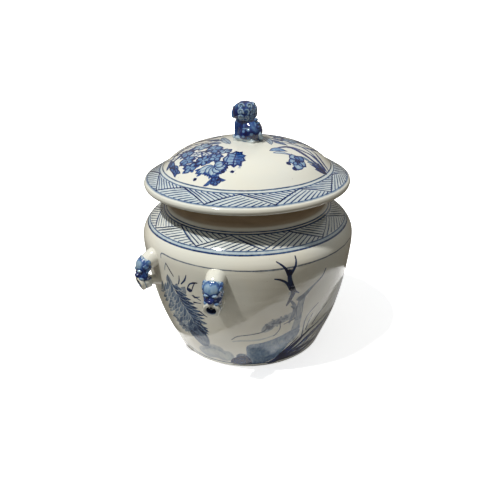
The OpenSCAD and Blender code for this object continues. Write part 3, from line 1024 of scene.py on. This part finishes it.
def make_mask():
    """A lion's face: curled mane, brow, nose and an open mouth in a bare lip."""
    clay = Clay((-6, -13, -19), (19, 13, 19), 0.3)
    clay.add(ball((4.4, 0, 6.4), (8.2, 8.6, 8.6)), 1, (0.8, 1.0))
    clay.add(ball((5.4, 0, -1.6), (7.6, 8.0, 6.4)), 2, (0.9, 0.95))
    clay.add(ball((5.2, 0, -9.0), (7.4, 8.0, 6.8)), 1.5, (0.06, 0.4))
    # a paler patch over the top front of the dome: painted highlight
    clay.paint(ball((9.5, 0, 9.0), (6.5, 5.0, 4.0)), (0.3, 1.0), 3)
    clay.paint(ball((4.0, -8, 3.0), (4.0, 2.6, 5.0)), NAVY, 1.6)
    clay.paint(slab((8, 0, -3.6), (9, 12, 1.1), 0.6), NAVY, 1.2)
    for side in (-1, 1):
        for k in range(3):
            at = (6.4 - 1.2 * k, side * (8.0 + 0.2 * k), 8.6 - 4.2 * k)
            raised(clay, curl(at, (0.35, side, 0.1), 2.3, start=k), (0.4, 1.0))
        raised(clay, ball((3.6, side * 7.0, 11.0), (2.4, 2.2, 2.6)), (0.45, 1.0), 0.8)
        raised(clay, ball((10.6, side * 3.3, 3.8), (2.7, 2.6, 1.5)), (0.2, 1.0), 0.9)
        clay.add(ball((11.2, side * 3.1, 0.4), (1.6, 1.7, 1.5)), 0.4, NAVY, 0.9)
        raised(clay, ball((10.2, side * 4.4, -3.6), (2.4, 2.4, 1.6)), (0.3, 0.9), 0.8)
    for k, (y, z) in enumerate(((-5.2, 12.0), (0, 13.4), (5.2, 12.0), (-2.8, 8.6), (2.8, 8.6))):
        at = (7.6 - 0.34 * abs(y) + 0.3 * (12 - z), y, z)
        lock = curl(at, (0.75, y * 0.08, 0.6), 2.3, start=2 * k)
        raised(clay, lock, (0.15, 1.0), 0.6, 0.35, DARK)
    clay.add(ball((12.6, 0, -1.4), (2.2, 2.8, 2.0)), 0.7, NAVY, 0.8)
    lip = ring_form((10.0, 0, -9.6), (1, 0, -0.3), 5.6, 1.9)
    clay.paint(lip, (0.9, 0.5), 1.3)
    clay.add(lip, 0.9, BARE, 0.7)
    # the open mouth: a shallow hollow, painted near-black as painted shade inside it
    clay.carve(ball((13.4, 0, -10.0), (6.6, 4.3, 3.5)), 0.6, (1.6, 0.35), 0.35)
    for side in (-1, 1):
        clay.add(rod([(9.8, side * 1.5, -6.0), (10.6, side * 1.6, -8.0)], [0.9, 0.5]), 0.3, BARE, 0.4)
    clay.carve(bore_form, 0.6)
    back = 1.4       # where the mask is cut flat, to sit on the loop
    clay.carve(lambda x, y, z: x - back, 0.5)
    return clay.surface((0.5, 0.9))


def make_lion():
    """The seated lion of the knob, looking along +X, with its plinth sunk into the dome."""
    deep = (1.5, 0.95)
    clay = Clay((-21, -15, -7), (17, 15, 37), 0.36)
    clay.add(slab((-2, 0, -2.2), (11.8, 9.0, 4.2), 2.2), 1, (0.1, 0.4), 0.5)
    clay.add(ball((-6.0, 0, 8.2), (9.6, 10.4, 10.4)), 1.5, deep)
    clay.add(ball((-0.8, 0, 13.5), (8.6, 8.4, 9.4)), 2, deep)
    clay.add(ball((3.6, 0, 14.5), (6.4, 7.0, 7.6)), 2, (0.9, 0.9))
    for side in (-1, 1):
        clay.add(ball((-4.2, side * 6.0, 6.0), (7.4, 4.8, 6.6)), 0.8, deep)
        clay.add(ball((2.6, side * 7.6, 2.6), (4.6, 2.6, 2.0)), 0.6, (0.2, 0.9), 0.5)
        clay.add(rod([(5.4, side * 4.6, 15), (6.4, side * 4.8, 3)], [3.6, 2.9]), 0.8, DARK)
        clay.add(ball((8.4, side * 5.0, 2.6), (3.4, 2.9, 2.0)), 0.6, (0.2, 0.9), 0.5)
        for y in (side * 5.0 - 1.5, side * 5.0, side * 5.0 + 1.5):
            clay.carve(rod([(11.8, y, 2.4), (9.6, y, 4.6)], [0.35, 0.25]), 0.3, DARK, 0.4)
    # head: a blocky mane cap, muzzle, brow and ears
    clay.add(ball((1.2, 0, 25.2), (9.8, 11.2, 9.2)), 1.6, deep)
    clay.add(slab((1.2, 0, 25.0), (8.8, 10.0, 7.4), 6), 1.5, deep)
    clay.add(slab((9.2, 0, 22.4), (4.4, 5.6, 4.0), 2.4), 1, BLUE, 0.5)
    clay.carve(slab((13.2, 0, 20.6), (3.0, 4.2, 0.9), 0.5), 0.4, INK, 0.4)
    clay.add(ball((13.2, 0, 25.0), (1.8, 2.6, 1.5)), 0.6, NAVY, 0.5)
    for side in (-1, 1):
        raised(clay, ball((9.6, side * 3.9, 28.2), (2.2, 2.4, 1.8)), (0.25, 1.0))
        clay.add(ball((10.6, side * 3.9, 27.0), (1.2, 1.3, 1.2)), 0.2, INK, 0.3)
        clay.add(ball((3.6, side * 8.8, 30.0), (1.8, 1.8, 2.6)), 0.5, BLUE, 0.4)
    # snail curls over the mane and down the nape
    clay.paint(ball((-5, 0, 27), (7, 8, 6)), (0.8, 1.0), 2.5)
    clay.paint(ball((-12, 0, 13), (5, 7, 5)), (0.7, 1.0), 2.5)
    spots = [(-math.cos(a), math.sin(a), z)
             for z, count in ((31.0, 4), (26.4, 6), (21.4, 6)) for a in np.linspace(-1.3, 1.3, count)]
    for k, (x, y, z) in enumerate(spots):
        lift = (z - 25) / 9.4
        wide = math.sqrt(max(0.05, 1 - lift * lift * 0.72))
        at = (1.2 + 9.6 * x * wide, 11.0 * y * wide, z)
        raised(clay, curl(at, (x, y, lift * 0.7), 2.9, 1.2, 0.8, start=k), (0.22, 1.0), 0.5, 0.3, DARK)
    for y in (-6, -2, 2, 6):
        at = (3.5 - 0.1 * y * y, y, 33.4 - 0.07 * y * y)
        raised(clay, curl(at, (0.1, y * 0.05, 1), 2.4, 1.3, 0.7, start=y), (0.22, 1.0), 0.5, 0.3, DARK)
    # locks down the spine, streaks over the haunches and the curled tail
    for k in range(4):
        at = (-11.4 - 1.2 * k + 0.1 * k * k, 0.7 * (-1) ** k, 19.2 - 3.2 * k)
        raised(clay, ball(at, (1.5, 2.4, 1.3)), (0.6, 1.0), 0.8)
    for side in (-1, 1):
        for k in range(3):
            top = (-11.5 + 4.4 * k, side * (2.4 + 2.0 * k), 17.4 - 0.6 * k)
            bend = (-15.0 + 5.4 * k, side * (5.4 + 1.9 * k), 12.5)
            clay.paint(rod([top, bend], [0.9, 0.1]), (0.4, 1.0), 0.8)
        for k in range(5):
            a = 0.6 + k * 1.25
            at = (-7.6 + 4.2 * math.cos(a), side * 9.6, 7.4 + 4.0 * math.sin(a))
            clay.paint(ball(at, (1.2, 3.4, 1.0)), (0.4, 1.0), 0.6)
        paw = rod([(-12, side * 7, 1.8), (-5, side * 10.4, 1.2), (3, side * 9.2, 1.0)], [1.0, 0.8])
        clay.paint(paw, (0.12, 0.8), 0.7)
        groove = rod([(-9, side * 8.6, 12.6), (-1, side * 10, 11.8), (3.4, side * 8.6, 6)], [0.5, 0.5])
        clay.carve(groove, 0.5, (0.3, 0.9), 0.5)
    tail = rod([(-13.4, -3.5, 1.8), (-15.2, -1.0, 3.6), (-15.6, 0.8, 6.4), (-14.8, 0.2, 8.8)],
               [2.2, 2.2, 1.9, 1.0])
    raised(clay, tail, (0.2, 0.8), 0.8, 0.4)
    return clay.surface((0.9, 0.9))


def placed(name, surface, degrees, out, up):
    """A modelled piece, stood at that distance and height and turned about the axis."""
    points, quads, normal, colour = surface
    c, s = math.cos(math.radians(degrees)), math.sin(math.radians(degrees))
    turn = np.array([[c, s, 0], [-s, c, 0], [0, 0, 1]])
    points = (points + [out, 0, up]) @ turn * MM
    return painted_mesh(name, points, quads, colour, normal @ turn)


# ---- materials -------------------------------------------------------------------------------

class Nodes:
    """A short way to write a material's nodes."""

    def __init__(self, name):
        self.material = bpy.data.materials.new(name)
        self.material.use_nodes = True
        self.tree = self.material.node_tree
        self.shader = self.tree.nodes["Principled BSDF"]
        self.where = self.add("ShaderNodeTexCoord").outputs["Object"]

    def feed(self, socket, value):
        """Links another node's output to the socket, or sets it to a plain value."""
        if isinstance(value, bpy.types.NodeSocket):
            self.tree.links.new(value, socket)
        else:
            socket.default_value = value

    def add(self, kind, inputs=None, **settings):
        """A new node, with the given inputs fed."""
        node = self.tree.nodes.new(kind)
        for key, value in settings.items():
            setattr(node, key, value)
        for key, value in (inputs or {}).items():
            self.feed(node.inputs[key], value)
        return node

    def shade(self, inputs):
        """Feeds the shader's inputs, and gives back the finished material."""
        for key, value in inputs.items():
            self.feed(self.shader.inputs[key], value)
        return self.material

    def noise(self, scale, detail=2.0, stretch=(1, 1, 1)):
        """Noise with features about 1/scale metres across."""
        mapping = self.add("ShaderNodeMapping", {"Scale": stretch, "Vector": self.where})
        node = self.add("ShaderNodeTexNoise",
                        {"Scale": scale, "Detail": detail, "Vector": mapping.outputs["Vector"]})
        return node.outputs["Fac"]

    def range(self, value, low, high, start=0.3, end=0.7):
        """The value from start to end, mapped to low to high."""
        node = self.add("ShaderNodeMapRange", {"From Min": start, "From Max": end, "To Min": low,
                                               "To Max": high, "Value": value})
        return node.outputs["Result"]

    def mix(self, share, a, b, blend="MIX"):
        """Colour a, with that share of colour b laid over it."""
        node = self.add("ShaderNodeMix", data_type="RGBA", blend_type=blend)
        self.feed(node.inputs["Factor"], share)
        for socket, value in zip([i for i in node.inputs if i.type == "RGBA"], (a, b)):
            self.feed(socket, (*value, 1) if isinstance(value, tuple) else value)
        return [o for o in node.outputs if o.type == "RGBA"][0]

    def math(self, operation, a, b):
        return self.add("ShaderNodeMath", {0: a, 1: b}, operation=operation).outputs["Value"]

    def bump(self, height, distance, under=None):
        """The normals of a height pattern, so many metres deep, over an earlier relief or none."""
        node = self.add("ShaderNodeBump", {"Distance": distance, "Height": height})
        if under:
            self.feed(node.inputs["Normal"], under)
        return node.outputs["Normal"]


CREAM, WARM, CELADON = (0.62, 0.62, 0.56), (0.65, 0.625, 0.53), (0.565, 0.605, 0.565)
# the first two: bare clay at the neck, darkened as painted shade under the lid's brim
NECK_SHADE_BROWN, NECK_SHADE_DARK_BROWN, IRON = (0.36, 0.265, 0.165), (0.27, 0.19, 0.115), (0.30, 0.25, 0.19)
BISCUIT, WORN, GRIT = (0.70, 0.64, 0.52), (0.62, 0.54, 0.42), (0.42, 0.33, 0.24)
THROWING_RINGS = 0.22    # height of their relief


def glazed(name, coat=0.35, orange_peel=0.03):
    """Clear glaze over pale porcelain, with cobalt under it where the paint attribute is dark; where its
    alpha is 0, bare clay in a dark brown painted shade.
    """
    n = Nodes(name)
    body = n.mix(n.range(n.noise(22, 3), 0.0, 1.0, 0.35, 0.7), CREAM, WARM)
    body = n.mix(n.range(n.noise(9, 2), 0.0, 0.55, 0.4, 0.75), body, CELADON)
    # small dark specks of iron in the clay
    cells = n.add("ShaderNodeTexVoronoi", {"Scale": 260, "Vector": n.where})
    chosen = n.range(n.noise(120, 1), 0.0, 1.0, 0.63, 0.66)
    speck = n.math("MULTIPLY", n.range(cells.outputs["Distance"], 0.55, 0.0, 0.05, 0.16), chosen)
    body = n.mix(speck, body, IRON)
    # the cobalt's thickness varies with the brush: a power of its colour
    attribute = n.add("ShaderNodeAttribute", attribute_name="paint")
    streaks = n.range(n.noise(420, 3, (1, 1, 0.45)), 0.72, 1.3, 0.3, 0.7)
    pools = n.range(n.noise(95, 2), 0.78, 1.28, 0.3, 0.7)
    gamma = n.add("ShaderNodeGamma", {"Color": attribute.outputs["Color"],
                                      "Gamma": n.math("MULTIPLY", streaks, pools)})
    colour = n.mix(1.0, body, gamma.outputs["Color"], "MULTIPLY")
    # where the glaze was wiped off, the clay is matt, and painted dark brown as the shade under the lid's
    # brim
    glaze_here = attribute.outputs["Alpha"]
    clay = n.mix(n.range(n.noise(50, 3, (1, 1, 4)), 0.0, 1.0), NECK_SHADE_BROWN, NECK_SHADE_DARK_BROWN)
    glaze_roughness = n.range(n.noise(60, 3), 0.05, 0.12)
    clay_roughness = n.range(glaze_here, 0.5, 0.0, 0.0, 1.0)
    # throwing rings, then the glaze's orange peel
    ripples = n.bump(n.noise(14, 2, (0.6, 0.6, 14)), THROWING_RINGS * MM)
    peel = n.bump(n.noise(330, 2), orange_peel * MM, ripples)
    return n.shade({"Base Color": n.mix(glaze_here, clay, colour),
                    "Roughness": n.math("ADD", glaze_roughness, clay_roughness),
                    "Coat Weight": coat, "Coat Roughness": 0.05, "IOR": 1.5, "Normal": peel})


def bare_clay(name):
    """Unglazed fired porcelain: matt and slightly gritty."""
    n = Nodes(name)
    body = n.mix(n.range(n.noise(40, 3), 0.0, 1.0), BISCUIT, WORN)
    body = n.mix(n.range(n.noise(700, 2), 0.0, 0.35, 0.6, 0.75), body, GRIT)
    return n.shade({"Base Color": body, "Roughness": n.range(n.noise(180, 3), 0.6, 0.85),
                    "Normal": n.bump(n.noise(900, 3), 0.06 * MM)})


def pale_floor(name, shade, glow):
    """Matt and nearly even, as grey as shade, with a glow of its own."""
    n = Nodes(name)
    cooler = (shade - 0.02, shade - 0.02, shade - 0.015)
    return n.shade({"Base Color": n.mix(n.range(n.noise(3, 2), 0.0, 1.0), (shade,) * 3, cooler),
                    "Roughness": 0.8, "Specular IOR Level": 0.1,
                    "Emission Color": (1, 1, 1, 1), "Emission Strength": glow})


# ---- the object ------------------------------------------------------------------------------

def finish_piece(piece, material, body, slot, *nodes):
    """Gives a piece its material and body, and hides the CAD nodes that it stands for; slot is not used."""
    piece.data.materials.append(material)
    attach(piece, body)
    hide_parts(*nodes)


glaze = glazed("glaze_over_cobalt")
moulded = glazed("glaze_on_moulding", 0.8, 0.02)

finish_piece(make_jar(), glaze, "jar", "painted_glaze", "jar_body")
finish_piece(make_lid(), glaze, "lid", "painted_glaze", "lid_shell")
loop_surface, mask_surface = make_loop(), make_mask()
for i, degrees in LUG_DEGREES.items():
    finish_piece(placed(f"lug_{i}", loop_surface, degrees, BORE_OUT, BORE_UP), moulded,
                 "jar", "clear_glaze", f"lug_loop_{i}")
    finish_piece(placed(f"mask_{i}", mask_surface, degrees, BORE_OUT, BORE_UP), moulded,
                 "jar", "cobalt_glaze", f"lion_mask_{i}")
LION_FACING = 90       # from +X towards +Y
lion = placed("lion", make_lion(), LION_FACING, 0, APEX_Z)
finish_piece(lion, moulded, "lid", "cobalt_glaze", "lion_knob")

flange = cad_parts["lid_flange"]
flange.data.materials.clear()
flange.data.materials.append(bare_clay("bare_porcelain"))


# ---- stage, light and camera -----------------------------------------------------------------

# directions on the floor as the camera sees them
view = math.radians(FRONT)
RIGHT = Vector((math.cos(view), math.sin(view), 0))
AWAY = Vector((-math.sin(view), math.cos(view), 0))
UP = Vector((0, 0, 1))

# the stage, in metres
FLOOR_R, BACKDROP_R, BACKDROP_Z = 3.0, 5.0, 3.0
OVERLAP = 0.01           # of the floor over the backdrop
PINHOLE = 0.0005         # radius left open in the middle of a floor


def add_to_scene(name, data):
    """A new object of that data, in the scene."""
    piece = bpy.data.objects.new(name, data)
    bpy.context.scene.collection.objects.link(piece)
    return piece


def disc(name, outer, material, inner=PINHOLE, rise=0, middle=(0, 0, 0)):
    """A ring of floor, whose outer edge stands higher by rise where it makes a backdrop."""
    n = 128
    a = np.arange(n) * 2 * math.pi / n
    points = [(r * math.cos(b), r * math.sin(b), z) for r, z in ((inner, 0), (outer, rise)) for b in a]
    mesh = bpy.data.meshes.new(name)
    mesh.from_pydata(points, [], [(j, n + j, n + (j + 1) % n, (j + 1) % n) for j in range(n)])
    mesh.materials.append(material)
    piece = add_to_scene(name, mesh)
    piece.location = middle
    return piece


def make_floors():
    """The floor that is seen is nearly white and throws nothing back.

    Under it lie two that aren't seen, as wide as the sunlit patch round the bowl: a grey one that
    throws soft light back at the bowl, and a white one that its glaze reflects."""
    white = pale_floor("floor", 0.9, 0.66)
    for seen in (disc("floor", FLOOR_R, white),
                 disc("backdrop", BACKDROP_R, white, FLOOR_R - OVERLAP, BACKDROP_Z)):
        seen.visible_diffuse = seen.visible_glossy = seen.visible_shadow = False
    bounce = disc("floor_bounce", 0.175, pale_floor("bounce", 0.6, 0),
                  middle=-0.06 * RIGHT - 0.0005 * UP)
    shine = disc("floor_shine", 0.152, pale_floor("shine", 0.9, 0.1),
                 middle=0.07 * RIGHT - 0.012 * AWAY - 0.001 * UP)
    shine.visible_diffuse = bounce.visible_glossy = False
    for hidden in (bounce, shine):
        hidden.visible_camera = hidden.visible_shadow = False


def make_sun():
    """A slightly warm sun, high up on the left and a little in front."""
    sun = bpy.data.lights.new("key", "SUN")
    sun.energy, sun.angle, sun.color = 3.8, math.radians(2.5), (1.0, 0.985, 0.955)
    to_light = (-0.378 * RIGHT - 0.215 * AWAY + 0.90 * UP).normalized()
    add_to_scene("key", sun).rotation_euler = to_light.to_track_quat("Z", "Y").to_euler()


SKY = ((0.0, (0.10, 0.085, 0.065)), (0.47, (0.15, 0.13, 0.10)), (0.53, (0.19, 0.17, 0.14)),
       (0.66, (0.36, 0.35, 0.325)), (1.0, (0.44, 0.46, 0.48)))


def make_sky():
    """A dim room: SKY gives its colours from straight down (0) past the horizon (0.5) to overhead (1)."""
    world = bpy.data.worlds.new("sky")
    bpy.context.scene.world = world
    world.use_nodes = True
    tree = world.node_tree
    where, split, height, ramp = (tree.nodes.new("ShaderNode" + kind) for kind in
                                  ("TexCoord", "SeparateXYZ", "MapRange", "ValToRGB"))
    height.inputs["From Min"].default_value = -1
    for output, socket in ((where.outputs["Generated"], split.inputs[0]),
                           (split.outputs["Z"], height.inputs["Value"]),
                           (height.outputs["Result"], ramp.inputs["Fac"]),
                           (ramp.outputs["Color"], tree.nodes["Background"].inputs["Color"])):
        tree.links.new(output, socket)
    stops = ramp.color_ramp.elements
    while len(stops) < len(SKY):
        stops.new(0.5)
    for stop, (at, colour) in zip(stops, SKY):
        stop.position, stop.color = at, (*colour, 1)


# the camera: degrees above the floor, metres from the middle, degrees of roll, and its lens
ELEVATION, DISTANCE, ROLL, LENS, SENSOR = 25.54, 0.560, -0.79, 40.03, 36
SHIFT = (0.0037, 0.01534)
MIDDLE = 0.080 * UP


def make_camera():
    """Looks down at the middle of the bowl, turned to the front of the painting."""
    lift, roll = math.radians(ELEVATION), math.radians(ROLL)
    back = -math.cos(lift) * AWAY + math.sin(lift) * UP
    up = back.cross(RIGHT)
    across = math.cos(roll) * RIGHT + math.sin(roll) * up
    up = math.cos(roll) * up - math.sin(roll) * RIGHT
    lens = bpy.data.cameras.new("camera")
    lens.sensor_width, lens.lens = SENSOR, LENS
    lens.shift_x, lens.shift_y = SHIFT
    camera = add_to_scene("camera", lens)
    camera.matrix_world = (Matrix.Translation(MIDDLE + DISTANCE * back)
                           @ Matrix((across, up, back)).transposed().to_4x4())
    bpy.context.scene.camera = camera


make_floors()
make_sun()
make_sky()
make_camera()
bpy.context.scene.view_settings.view_transform = "Standard"
